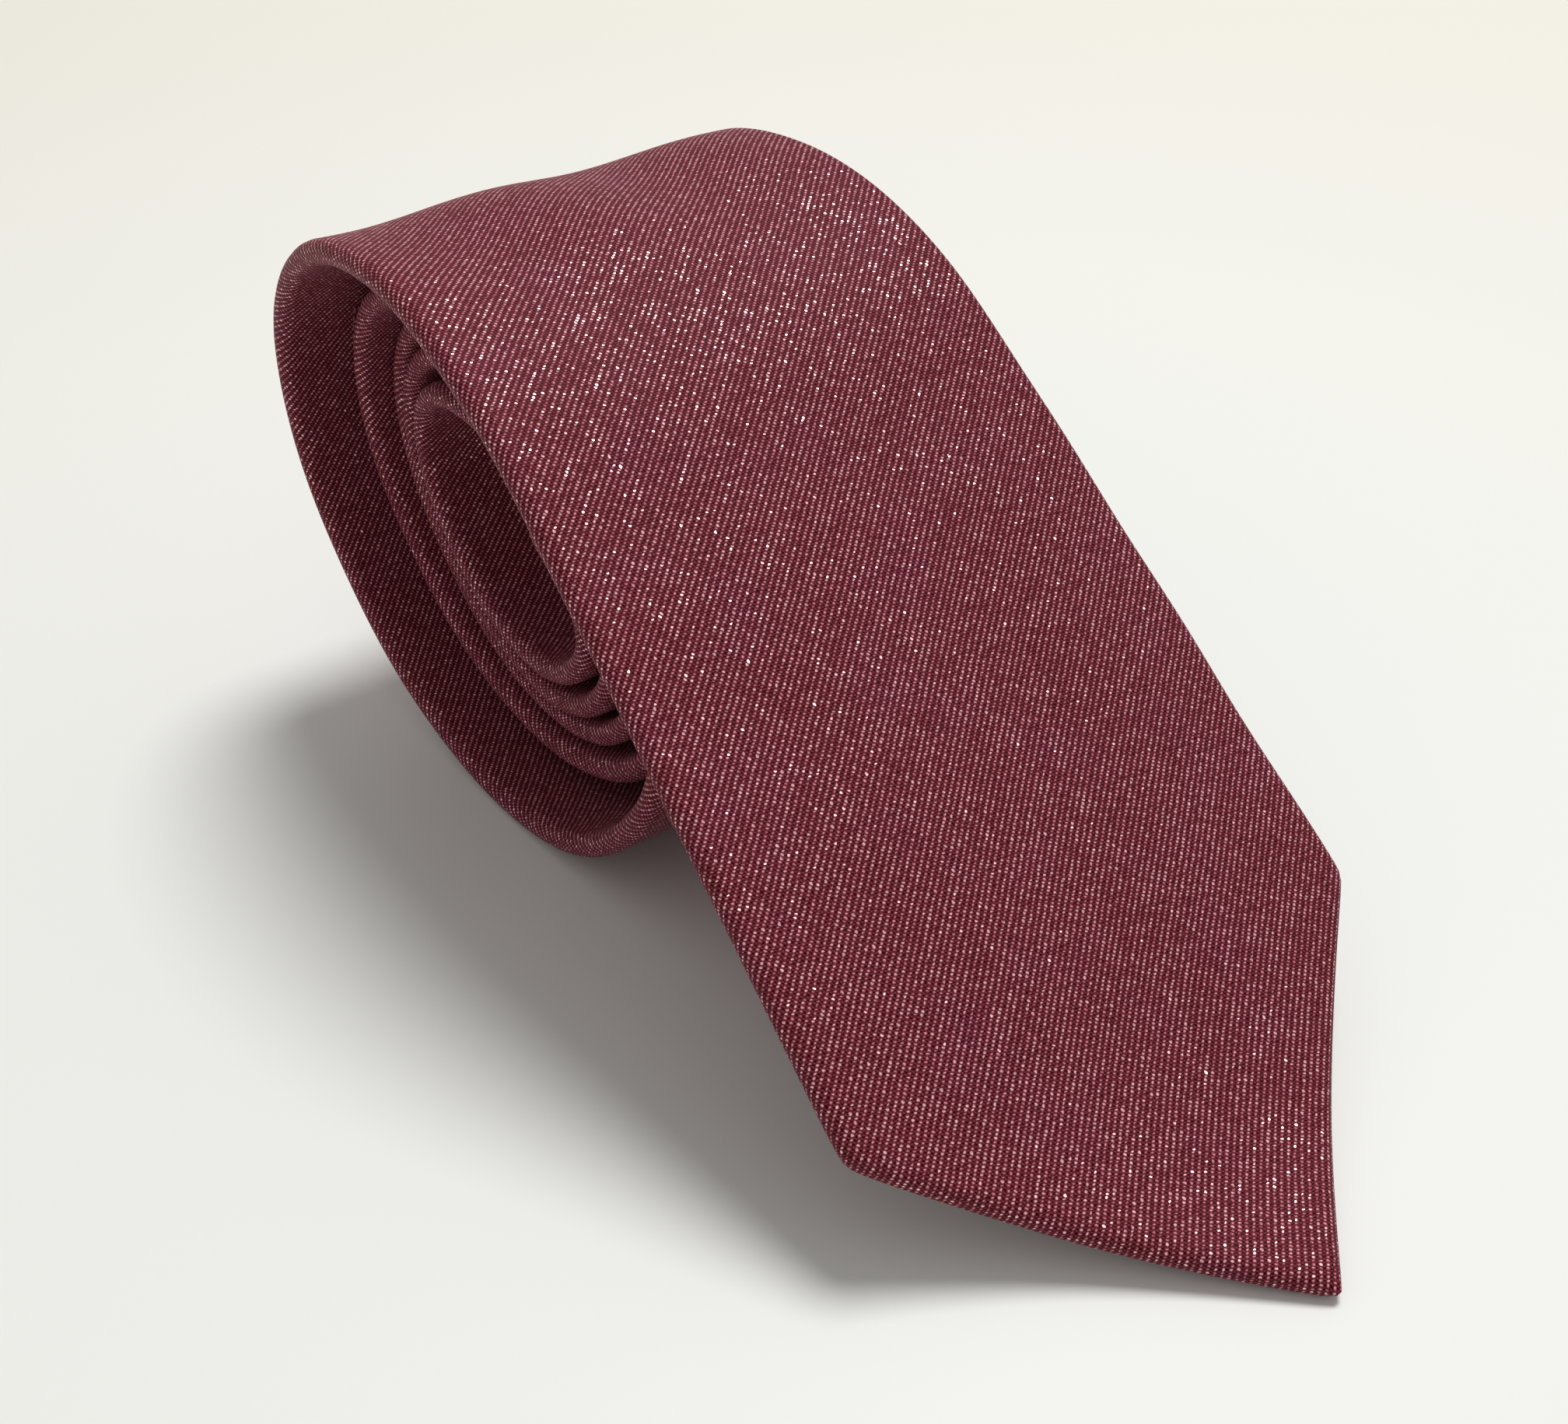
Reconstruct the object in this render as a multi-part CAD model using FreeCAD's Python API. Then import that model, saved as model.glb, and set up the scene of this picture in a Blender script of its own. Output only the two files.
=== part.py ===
"""A gentleman's necktie, rolled up from its narrow end and lying on its side.

The roll's axis lies along X.  The wide blade leaves the top of the roll, runs down towards -Y and
rests its point on the table.  +Z is up.  The origin is under the middle of the whole tie, at table
height.  All lengths are millimetres and all angles are degrees.

Every piece is a ribbon swept along one path.  The path is the tie's outer face seen from the side,
measured by its length from the blade's point.  A piece's cross-section is given as corners
(across, depth): across is the distance from the tie's centre line, and depth is the distance in
from the outer face.
"""
import FreeCAD, Part
import math
import os

# --- lengths along the tie, from the blade's point -----------------------------------------------
blade_length = 640.0            # blade piece, to its seam with the neck piece
neck_length = 230.0             # neck piece, seam to seam
tail_length = 335.0             # tail piece, to the tail's point

# --- widths of the finished tie ------------------------------------------------------------------
blade_width = 85.0              # widest part, at the blade's two corners
neck_width = 40.0               # narrow part that goes round the collar
tail_width = 42.0               # at the tail's two corners
point_angle = 90.0              # angle of the point at each end
point_width = 1.0               # blunt width of each point

# --- layers through the thickness ----------------------------------------------------------------
shell_thickness = 0.7           # outer cloth
seam_room = 0.45                # room over the interlining for the pressed-open seams
interlining_thickness = 1.5
tipping_thickness = 0.3         # lining cloth behind each point
layer_clearance = 0.05          # between two pieces that lie on each other
edge_clearance = 0.25           # from the interlining to the folded edges

# --- folds and openings of the outer cloth on the back -------------------------------------------
hem = 3.5                       # turned-in edge along each side of the points
seam_gap = 0.4                  # between the two back flaps at the centre seam
blade_open_length = 96.0        # point to where the centre seam starts
tail_open_length = 62.0         # the same on the tail

# --- shape of the roll, seen from the side -------------------------------------------------------
tip_slope = 4.0                 # slope of the blade's last stretch, nearly flat on the table
tip_run = 8.0                   # length of that stretch
toe_radius = 40.0               # bend where the blade leaves the table
toe_slope = 28.0                # slope at the end of that bend
sag_radius = 145.0              # slack hollow bend above it
flap_slope = 37.0               # slope of the straight part of the blade
roll_layers = 5                 # whole layers, from the outermost to the core; the tail ends above them
core_crest_radius = 48.9        # outer face of the innermost layer over the top
core_back_radius = 12.1         # the same round the back
core_under_radius = 35.9        # the same along the underside
crest_end = -7.0                # heading where the crest hands over to the back
back_end = -112.0               # heading where the back hands over to the underside
layer_gaps = (4.4, 1.3, 0.9, 1.5)               # air between neighbouring layers, outermost first
knee_shares = (0.267, 0.306, 0.635, 0.627, 0.297)   # how much of each layer's rise its knee takes
growth_step = 0.25              # a longer tie widens the roll in these steps
roll_drift = 5.5                # how far the inner layers have slid towards -X
curve_step = 3.5                # greatest spacing of the points that a curved edge goes through

# --- hinges of the free blade --------------------------------------------------------------------
curl_hinge = 62.0               # along the tie: the end of the blade curls here
lift_hinge = 128.0              # along the tie: the blade lifts off the roll here
hinge_gap = 0.7                 # between the cloth of two moving parts

# --- small pieces on the back --------------------------------------------------------------------
tipping_lap = 14.0              # how far the tipping reaches in past the opening
thread_thickness = 0.3
stitch_length = 1.8
stitch_pitch = 3.6
bar_tack_width = 8.0
bar_tack_length = 1.4
label_thickness = 0.3
maker_label_width = 44.0
maker_label_length = 20.0
maker_label_place = 176.0       # its lower edge, along the tie
care_label_width = 14.0
care_label_length = 22.0
care_label_place = 262.0
loop_place = 222.0              # lower edge of the keeper loop, along the tie
loop_width = 46.0
loop_length = 12.0
loop_thickness = 0.6
loop_slack = 1.3                # room for the tail between the loop and the blade's back
seam_allowance = 6.0            # each side of a joining seam

# --- worked out from the sizes above -------------------------------------------------------------
tie_length = blade_length + neck_length + tail_length
tie_thickness = (2 * shell_thickness + seam_room + interlining_thickness
                 + tipping_thickness + 2 * layer_clearance)
point_slope = math.tan(math.radians(point_angle / 2))
point_run = (blade_width - point_width) / 2 / point_slope
tail_run = (tail_width - point_width) / 2 / point_slope
interlining_depth = shell_thickness + seam_room
tipping_depth = interlining_depth + interlining_thickness + layer_clearance
back_depth = tie_thickness - shell_thickness
roll_depth = (roll_layers - 1) * tie_thickness + sum(layer_gaps)    # outer layer to innermost layer
on_back = tie_thickness + layer_clearance       # where the small pieces on the back start


# --- the path ------------------------------------------------------------------------------------
def advance(state, length, turn):
    """Move along a straight (turn 0) or an arc; state is (y, z, heading)."""
    y, z, heading = state
    start = math.radians(heading)
    end = math.radians(heading + turn)
    if turn == 0:
        return (y + length * math.cos(start), z + length * math.sin(start), heading)
    radius = length / (end - start)
    return (y + radius * (math.sin(end) - math.sin(start)),
            z + radius * (math.cos(start) - math.cos(end)),
            heading + turn)


def arc_length(radius, turn):
    return radius * abs(math.radians(turn))


def outer_bends(growth):
    """Radius and last heading of the outermost layer's crest, back and underside."""
    wider = roll_depth + growth
    return ((core_crest_radius + wider, crest_end), (core_back_radius + wider, back_end),
            (core_under_radius + wider, -180.0))


def flap_straight(growth):
    """Length of the flap's straight part that lets the point and the roll both rest at z = 0."""
    slope = math.radians(flap_slope)
    start = (0.0, 0.0, flap_slope)
    for radius, heading in outer_bends(growth):
        turn = heading - start[2]
        start = advance(start, arc_length(radius, turn), turn)
    drop = -start[1]
    low = advance((0.0, tie_thickness * math.cos(math.radians(tip_slope)), tip_slope), tip_run, 0)
    for radius, heading in ((toe_radius, toe_slope), (sag_radius, flap_slope)):
        turn = heading - low[2]
        low = advance(low, arc_length(radius, turn), turn)
    return (drop - low[1]) / math.sin(slope)


def front_of_layer(state, target, share):
    """Front radius, knee radius and straight that lead from the underside to the next layer's crest."""
    slope = math.radians(flap_slope)
    dy = target[0] - state[0]
    dz = target[1] - state[1]
    knee = share * (dy + dz) / (1 - math.sin(slope) + math.cos(slope))
    straight = (1 - share) * (dy + dz) / (math.cos(slope) + math.sin(slope))
    front = dz - knee * math.cos(slope) - straight * math.sin(slope)
    return front, knee, straight


def roll_runs(growth):
    """The path as a list of (start length, start state, length, turn), for a roll widened by growth."""
    runs = []
    here = [0.0, (0.0, tie_thickness * math.cos(math.radians(tip_slope)), tip_slope)]

    def run(length, heading):
        turn = heading - here[1][2]
        runs.append((here[0], here[1], length, turn))
        here[0] += length
        here[1] = advance(here[1], length, turn)

    def bend(radius, heading):
        run(arc_length(radius, heading - here[1][2]), heading)

    run(tip_run, tip_slope)
    bend(toe_radius, toe_slope)
    bend(sag_radius, flap_slope)
    run(flap_straight(growth), flap_slope)
    crest = here[1]
    slope = math.radians(flap_slope)
    inset = 0.0
    for layer in range(roll_layers):
        whole_turns = -360.0 * layer
        for radius, heading in outer_bends(growth):
            bend(radius - inset, whole_turns + heading)
        inset += tie_thickness + layer_gaps[min(layer, len(layer_gaps) - 1)]
        next_crest = (crest[0] + inset * math.sin(slope), crest[1] - inset * math.cos(slope))
        share = knee_shares[min(layer, len(knee_shares) - 1)]
        front, knee, straight = front_of_layer(here[1], next_crest, share)
        bend(front, whole_turns - 270.0)
        bend(knee, whole_turns - 360.0 + flap_slope)
        run(straight, whole_turns - 360.0 + flap_slope)
    bend(outer_bends(growth)[0][0] - inset, -360.0 * roll_layers + crest_end)
    return runs


def fitting_runs():
    """The runs of the smallest roll in which the whole tie ends over the core's crest."""
    growth = 0.0
    runs = roll_runs(growth)
    while runs[-1][0] + runs[-1][2] < tie_length:
        growth += growth_step
        runs = roll_runs(growth)
    return runs


RUNS = fitting_runs()


def run_at(place):
    """The run that holds a place along the tie."""
    for run in reversed(RUNS):
        if run[0] <= place:
            return run
    return RUNS[0]


def back_of_roll():
    """Greatest y of the path: where the outermost layer first heads straight down."""
    for start, state, length, turn in RUNS:
        if state[2] + turn <= -90.0:
            part = (-90.0 - state[2]) / turn
            return advance(state, length * part, turn * part)[0]


MIDDLE_Y = back_of_roll() / 2


def point_at(place, across, depth):
    """A point of the tie, from its place along the path, its side and its depth."""
    start, state, length, turn = run_at(place)
    part = (place - start) / length
    y, z, heading = advance(state, length * part, turn * part)
    angle = math.radians(heading)
    drift = roll_drift * max(0.0, place - lift_hinge) / (tie_length - lift_hinge)
    return FreeCAD.Vector(across - drift,
                          y + depth * math.sin(angle) - MIDDLE_Y,
                          z - depth * math.cos(angle))


# --- widths --------------------------------------------------------------------------------------
def half_width(place):
    """Half the finished width of the tie at a place along it."""
    corner = point_run
    tail_corner = tie_length - tail_run
    neck_start = blade_length
    neck_end = blade_length + neck_length
    if place <= corner:
        return point_width / 2 + place * point_slope
    if place <= neck_start:
        part = (place - corner) / (neck_start - corner)
        return (blade_width + part * (neck_width - blade_width)) / 2
    if place <= neck_end:
        return neck_width / 2
    if place <= tail_corner:
        part = (place - neck_end) / (tail_corner - neck_end)
        return (neck_width + part * (tail_width - neck_width)) / 2
    return point_width / 2 + (tie_length - place) * point_slope


def opening(place):
    """Half the width left open between the two back flaps."""
    seam = seam_gap / 2
    from_tail = tie_length - place
    blade_mouth = half_width(point_run) - hem
    tail_mouth = half_width(tie_length - tail_run) - hem
    if place < point_run:
        return half_width(place) - hem
    if place < blade_open_length:
        part = (place - point_run) / (blade_open_length - point_run)
        return blade_mouth + part * (seam - blade_mouth)
    if from_tail < tail_run:
        return half_width(place) - hem
    if from_tail < tail_open_length:
        part = (from_tail - tail_run) / (tail_open_length - tail_run)
        return tail_mouth + part * (seam - tail_mouth)
    return seam


KINKS = [point_run, blade_open_length, blade_length, blade_length + neck_length,
         tie_length - tail_open_length, tie_length - tail_run]


# --- sweeping a section along the path -----------------------------------------------------------
def stations(start, end):
    """Places where a ribbon's surfaces change: its ends, the path's joints and the width's kinks."""
    inner = [run[0] for run in RUNS] + KINKS
    margin = 0.05
    return [start] + sorted(p for p in set(inner) if start + margin < p < end - margin) + [end]


def rail(start, end, corner):
    """One long edge of a ribbon between two stations; corner(place) is (across, depth)."""
    def point(place):
        return point_at(place, *corner(place))

    if run_at((start + end) / 2)[3] == 0:
        return Part.LineSegment(point(start), point(end)).toShape()
    count = max(3, math.ceil((end - start) / curve_step))
    points = [point(start + (end - start) * i / count) for i in range(count + 1)]
    step = 1e-4
    curve = Part.BSplineCurve()
    curve.interpolate(Points=points, InitialTangent=point(start + step) - points[0],
                      FinalTangent=points[-1] - point(end - step))
    return curve.toShape()


def ribbon(start, end, section):
    """A closed solid between two places; section(place) lists its corners (across, depth)."""
    places = stations(start, end)
    count = len(section(start))
    faces = []
    for low, high in zip(places, places[1:]):
        rails = [rail(low, high, lambda place, i=i: section(place)[i]) for i in range(count)]
        for i in range(count):
            faces.append(Part.makeRuledSurface(rails[i - 1], rails[i]))
    for place in (start, end):
        corners = [point_at(place, *corner) for corner in section(place)]
        faces.append(Part.Face(Part.makePolygon(corners + corners[:1])))
    shell = Part.Shell(faces)
    shell.sewShape()
    solid = Part.Solid(shell)
    if solid.Volume < 0:
        solid.reverse()
    return solid


def flat_section(half, top, bottom):
    """A plain strip: half its width as a function of place, and its two depths."""
    def section(place):
        side = half(place)
        return [(-side, top), (side, top), (side, bottom), (-side, bottom)]
    return section


def patch(start, length, width, top, thickness):
    """A small flat piece on the tie's centre line."""
    return ribbon(start, start + length, flat_section(lambda place: width / 2, top, top + thickness))


def save(shape, node):
    shape.exportStep("parts/" + node + ".step")
    print(node, "solids", len(shape.Solids), "valid", shape.isValid(), "volume", round(shape.Volume, 1))


# --- outer cloth ---------------------------------------------------------------------------------
def folded_section(place):
    """The front, two folded edges and two back flaps, with the opening between them."""
    side = half_width(place)
    inner = side - shell_thickness
    gap = opening(place)
    return [(-side, 0), (side, 0), (side, tie_thickness), (gap, tie_thickness), (gap, back_depth),
            (inner, back_depth), (inner, shell_thickness), (-inner, shell_thickness),
            (-inner, back_depth), (-gap, back_depth), (-gap, tie_thickness), (-side, tie_thickness)]


def solid_section(place):
    side = half_width(place)
    return [(-side, 0), (side, 0), (side, tie_thickness), (-side, tie_thickness)]


point_block = hem + shell_thickness     # the folds of the point meet over this length


def blade_shell_point():
    """The end of the blade, as far as the curl hinge, with the cloth folded solid at its point."""
    folded = ribbon(point_block, curl_hinge - hinge_gap / 2, folded_section)
    return folded.fuse(ribbon(0.0, point_block, solid_section)).removeSplitter()


def blade_shell_flap():
    return ribbon(curl_hinge + hinge_gap / 2, lift_hinge - hinge_gap / 2, folded_section)


def blade_shell_rolled():
    return ribbon(lift_hinge + hinge_gap / 2, blade_length, folded_section)


def neck_shell():
    return ribbon(blade_length, blade_length + neck_length, folded_section)


def tail_shell():
    block = tie_length - point_block
    folded = ribbon(blade_length + neck_length, block, folded_section)
    return folded.fuse(ribbon(block, tie_length, solid_section)).removeSplitter()


# --- interlining ---------------------------------------------------------------------------------
def interlining(start, end):
    """The woollen layer that fills the folded cloth; it stops short of the point's folds."""
    inset = shell_thickness + edge_clearance
    return ribbon(start, end, flat_section(lambda place: half_width(place) - inset, interlining_depth,
                                           interlining_depth + interlining_thickness))


interlining_start = point_block + edge_clearance


# --- tipping -------------------------------------------------------------------------------------
def tipping(start, end):
    """The lining behind a point, between the interlining and the back flaps."""
    inset = shell_thickness + edge_clearance
    return ribbon(start, end, flat_section(lambda place: half_width(place) - inset, tipping_depth,
                                           tipping_depth + tipping_thickness))


def slanted_stitches(places):
    """Short stitches along both slanted edges of a point, just inside the hem."""
    inset = hem + thread_thickness
    stitches = []
    for place in places:
        for side in (-1, 1):
            def section(here, side=side):
                middle = side * (half_width(here) - inset)
                half = thread_thickness / 2
                top = tipping_depth + tipping_thickness + layer_clearance
                return [(middle - half, top), (middle + half, top),
                        (middle + half, top + thread_thickness), (middle - half, top + thread_thickness)]
            stitches.append(ribbon(place, place + stitch_length, section))
    return Part.Compound(stitches)


def stitch_places(start, end):
    count = int((end - start) / stitch_pitch)
    return [start + i * stitch_pitch for i in range(count)]


# --- thread on the back --------------------------------------------------------------------------
def slip_stitch(start, end):
    """The single thread that draws the two back flaps together along the centre seam."""
    clearance = layer_clearance
    half = seam_gap / 2 - clearance
    return ribbon(start, end, flat_section(lambda place: half, back_depth + clearance,
                                           tie_thickness - clearance))


def bar_tack(place):
    """A thick cross stitch that closes the end of the centre seam."""
    return patch(place, bar_tack_length, bar_tack_width, on_back, thread_thickness)


def joining_seam(place):
    """The two seam allowances of a joining seam, pressed open behind the front of the tie."""
    inset = shell_thickness + edge_clearance
    return ribbon(place - seam_allowance, place + seam_allowance,
                  flat_section(lambda here: half_width(here) - inset, shell_thickness + layer_clearance,
                               interlining_depth - layer_clearance))


# --- keeper loop and labels ----------------------------------------------------------------------
def keeper_loop():
    """A strap across the back of the blade, with both ends turned down onto it."""
    side = loop_width / 2
    inner = side - loop_thickness
    inside = tie_thickness + loop_slack
    outside = inside + loop_thickness

    def section(place):
        return [(-side, on_back), (-side, outside), (side, outside), (side, on_back),
                (inner, on_back), (inner, inside), (-inner, inside), (-inner, on_back)]
    return ribbon(loop_place, loop_place + loop_length, section)


def side_tacks(place, length, offset):
    """A pair of short stitches, one each side, beside a piece that lies across the back."""
    tacks = []
    for side in (-1, 1):
        def section(here, side=side):
            low = side * offset - thread_thickness
            high = side * offset + thread_thickness
            bottom = on_back + thread_thickness
            return [(low, on_back), (high, on_back), (high, bottom), (low, bottom)]
        tacks.append(ribbon(place, place + length, section))
    return tacks


def keeper_loop_tacks():
    offset = loop_width / 2 + 2 * thread_thickness
    return Part.Compound(side_tacks(loop_place, loop_length, offset))


def maker_label():
    return patch(maker_label_place, maker_label_length, maker_label_width, on_back, label_thickness)


def maker_label_stitches():
    offset = maker_label_width / 2 + 2 * thread_thickness
    last = maker_label_place + maker_label_length - stitch_length
    ends = (maker_label_place, last)
    tacks = [tack for place in ends for tack in side_tacks(place, stitch_length, offset)]
    return Part.Compound(tacks)


def care_label():
    return patch(care_label_place, care_label_length, care_label_width, on_back, label_thickness)


# --- build every node ----------------------------------------------------------------------------
blade_seam = blade_length
tail_seam = blade_length + neck_length
tipping_end = blade_open_length + tipping_lap
tail_open = tie_length - tail_open_length
point_end = curl_hinge - hinge_gap / 2
flap_start = curl_hinge + hinge_gap / 2
flap_end = lift_hinge - hinge_gap / 2
roll_start = lift_hinge + hinge_gap / 2
blade_stitches = stitch_places(2 * hem, point_run)
tail_stitches = [tie_length - place - stitch_length for place in stitch_places(2 * hem, tail_run)]

NODES = {
    "blade_shell_point": blade_shell_point,
    "blade_shell_flap": blade_shell_flap,
    "blade_shell_rolled": blade_shell_rolled,
    "neck_shell": neck_shell,
    "tail_shell": tail_shell,
    "interlining_point": lambda: interlining(interlining_start, point_end),
    "interlining_flap": lambda: interlining(flap_start, flap_end),
    "interlining_rolled": lambda: interlining(roll_start, tie_length - interlining_start),
    "blade_tipping_point": lambda: tipping(interlining_start, point_end),
    "blade_tipping_flap": lambda: tipping(flap_start, tipping_end),
    "tail_tipping": lambda: tipping(tail_open - tipping_lap, tie_length - interlining_start),
    "blade_tipping_stitches": lambda: slanted_stitches(blade_stitches),
    "tail_tipping_stitches": lambda: slanted_stitches(tail_stitches),
    "slip_stitch_flap": lambda: slip_stitch(blade_open_length, flap_end),
    "slip_stitch_rolled": lambda: slip_stitch(roll_start, tail_open),
    "blade_bar_tack": lambda: bar_tack(blade_open_length + bar_tack_length),
    "tail_bar_tack": lambda: bar_tack(tail_open - 2 * bar_tack_length),
    "blade_neck_seam": lambda: joining_seam(blade_seam),
    "neck_tail_seam": lambda: joining_seam(tail_seam),
    "keeper_loop": keeper_loop,
    "keeper_loop_tacks": keeper_loop_tacks,
    "maker_label": maker_label,
    "maker_label_stitches": maker_label_stitches,
    "care_label": care_label,
}

os.makedirs("parts", exist_ok=True)
for node, build in NODES.items():
    save(build(), node)
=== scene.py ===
# %% [markdown]
# # A rolled necktie
# A dress tie is three pieces of bias-cut twill, sewn end to end and folded lengthwise round a soft
# wool interlining. A lining called the tipping closes the back of each point, and one long slip
# stitch draws the two back flaps together. This tie has been rolled up from its narrow end and laid
# on its side, so that the wide blade leaves the top of the roll and runs down to the table.
#
# The lesson builds the tie the way its maker does: each cloth is cut flat, folded across its width,
# and then rolled along its length. Everything is in metres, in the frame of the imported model.

# %% Load the frame
import math
import random

import bmesh
import bpy
import numpy as np
from mathutils import Matrix, Vector


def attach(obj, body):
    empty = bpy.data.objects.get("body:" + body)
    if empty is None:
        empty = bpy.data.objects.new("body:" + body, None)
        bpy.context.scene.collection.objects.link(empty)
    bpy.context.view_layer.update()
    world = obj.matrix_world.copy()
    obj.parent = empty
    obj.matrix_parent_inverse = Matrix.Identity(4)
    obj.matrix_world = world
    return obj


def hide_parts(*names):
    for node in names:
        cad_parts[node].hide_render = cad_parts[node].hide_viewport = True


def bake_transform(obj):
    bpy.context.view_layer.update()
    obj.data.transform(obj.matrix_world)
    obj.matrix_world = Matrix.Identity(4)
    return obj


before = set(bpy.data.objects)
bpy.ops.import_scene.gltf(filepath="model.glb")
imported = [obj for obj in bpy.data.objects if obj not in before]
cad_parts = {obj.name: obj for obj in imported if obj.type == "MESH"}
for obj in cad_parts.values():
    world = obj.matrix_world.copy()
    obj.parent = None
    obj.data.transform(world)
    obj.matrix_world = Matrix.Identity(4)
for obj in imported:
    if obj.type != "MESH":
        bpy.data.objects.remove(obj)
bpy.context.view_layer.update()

# %% [markdown]
# ## Sizes
# A tie's sizes are few. Its widths and lengths say how the cloth is cut, its layers say how thick
# it folds up, and the roll is a spiral of arcs that tighten from layer to layer.

# %% The tie's own sizes
MM = 0.001
blade_length = 640 * MM
neck_length = 230 * MM
tail_length = 335 * MM
tie_length = blade_length + neck_length + tail_length
blade_width = 85 * MM
neck_width = 40 * MM
tail_width = 42 * MM
tie_thickness = 3.75 * MM
cloth_thickness = 0.45 * MM
interlining_thickness = 1.5 * MM
interlining_depth = 1.15 * MM
tipping_depth = 2.72 * MM
tipping_thickness = 0.28 * MM
hem = 3.5 * MM
seam_allowance = 6 * MM
seam_depth = 0.75 * MM
allowance_thickness = 0.3 * MM
blade_open_length = 96 * MM
tail_open_length = 62 * MM
blade_corner = blade_width / 2
tail_corner = tie_length - tail_width / 2
curl_hinge = 62 * MM
lift_hinge = 128 * MM
print("tie length", round(tie_length, 3), "m")

# %% The roll's arcs
tip_slope, toe_slope, flap_slope = 4.0, 28.0, 37.0
tip_run = 8 * MM
toe_radius, sag_radius = 40 * MM, 145 * MM
crest_radius, back_radius, under_radius = 72 * MM, 35.2 * MM, 59 * MM
crest_end, back_end, under_end, front_end = -7.0, -112.0, -180.0, -270.0
front_radii = [43 * MM, 35 * MM, 27 * MM, 21.5 * MM, 17 * MM]
layer_gaps = [4.4 * MM, 1.3 * MM, 0.9 * MM, 1.5 * MM, 1.5 * MM]
roll_drift = 5.5 * MM
print("layers in the roll", len(front_radii))

# %% [markdown]
# ## The path
# Seen from the side, the tie's outer face is one line. Walking it is like driving: go straight, or
# turn on a radius until the heading is right. The walk is stored every half millimetre. Cloth never
# changes its curve all at once, so the line is then smoothed a little with a bell-shaped average.

# %% Walk the spiral
step = 0.5 * MM
smoothing = 5 * MM
lead = 60 * MM


def walk(points, heading, length, turn):
    """Append points for a straight or an arc, and return the new heading in degrees."""
    count = max(1, round(length / step))
    for _ in range(count):
        middle = math.radians(heading + turn / count / 2)
        y, z = points[-1]
        points.append((y + length / count * math.cos(middle),
                       z + length / count * math.sin(middle)))
        heading += turn / count
    return heading


def bend(points, heading, radius, target):
    """Append an arc that turns to a target heading, and return that heading."""
    return walk(points, heading, radius * abs(math.radians(target - heading)), target - heading)


def knee_and_straight(point, target):
    """The radius and the straight that lead from an upright front to the next layer's crest."""
    slope = math.radians(flap_slope)
    dy, dz = target[0] - point[0], target[1] - point[1]
    side = 1 - math.sin(slope)
    straight = (dy - side * dz / math.cos(slope)) / (math.cos(slope) - side * math.tan(slope))
    return (dz - straight * math.sin(slope)) / math.cos(slope), straight


def spiral(flap_straight):
    """Points of the outer face from the blade's point to past the tail's point."""
    points = [(0.0, 0.0)]
    heading = walk(points, tip_slope, tip_run, 0)
    heading = bend(points, heading, toe_radius, toe_slope)
    heading = bend(points, heading, sag_radius, flap_slope)
    heading = walk(points, heading, flap_straight, 0)
    crest = points[-1]
    slope = math.radians(flap_slope)
    inset = 0.0
    for layer, front_radius in enumerate(front_radii):
        turned = -360.0 * layer
        heading = bend(points, heading, crest_radius - inset, turned + crest_end)
        heading = bend(points, heading, back_radius - inset, turned + back_end)
        heading = bend(points, heading, under_radius - inset, turned + under_end)
        heading = bend(points, heading, front_radius, turned + front_end)
        inset += tie_thickness + layer_gaps[layer]
        target = (crest[0] + inset * math.sin(slope), crest[1] - inset * math.cos(slope))
        radius, straight = knee_and_straight(points[-1], target)
        heading = bend(points, heading, radius, turned - 360.0 + flap_slope)
        heading = walk(points, heading, straight, 0)
    walk(points, heading, lead, math.degrees(-lead / (crest_radius - inset)))
    return np.array(points)


def resting_straight():
    """The flap's straight length that puts the blade's point and the roll on the table together."""
    trial = spiral(0.0)
    tip_drop = tie_thickness * math.cos(math.radians(tip_slope))
    gap = (trial[0, 1] - tip_drop) - trial[:, 1].min()
    return gap / math.sin(math.radians(flap_slope))


raw_path = spiral(resting_straight())
raw_path[:, 1] -= raw_path[:, 1].min()
raw_path[:, 0] -= raw_path[:, 0].max() / 2
print("path length", round(len(raw_path) * step, 3), "m")

# %% Smooth the spiral
reach = int(3 * smoothing / step)
bell = np.exp(-0.5 * (np.arange(-reach, reach + 1) * step / smoothing) ** 2)
bell /= bell.sum()
before = raw_path[0] - np.arange(reach, 0, -1)[:, None] * (raw_path[1] - raw_path[0])
after = raw_path[-1] + np.arange(1, reach + 1)[:, None] * (raw_path[-1] - raw_path[-2])
padded_path = np.concatenate([before, raw_path, after])
path = np.stack([np.convolve(padded_path[:, k], bell, "valid") for k in (0, 1)], axis=1)
path[:, 1] -= path[:, 1].min()
tangent = np.gradient(path, axis=0)
tangent /= np.linalg.norm(tangent, axis=1)[:, None]
along = np.arange(len(path)) * step
print("smoothed by at most", round(float(np.abs(path - raw_path).max()) * 1000, 2), "mm")

# %% [markdown]
# ## Ripples
# Cloth that has been rolled never lies quite true. A few long waves that run every way, drawn by
# chance from a fixed seed, keep its faces from looking machined. Over the crest of the roll,
# shallow folds run along the tie, a little aslant.

# %% Let the cloth ripple
chance = random.Random(11)
wave_count, shortest_wave, longest_wave = 6, 28, 60
waves = [(chance.uniform(shortest_wave, longest_wave) * MM,
          chance.uniform(0, math.pi), chance.uniform(0, math.tau)) for _ in range(wave_count)]
slack_ripple = 0.16 * MM
crest_place, crest_reach, crest_ripple = 172 * MM, 26 * MM, 0.75 * MM
fold_pitch, fold_slant, fold_phase = 36 * MM, 0.25, 0.9


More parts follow.
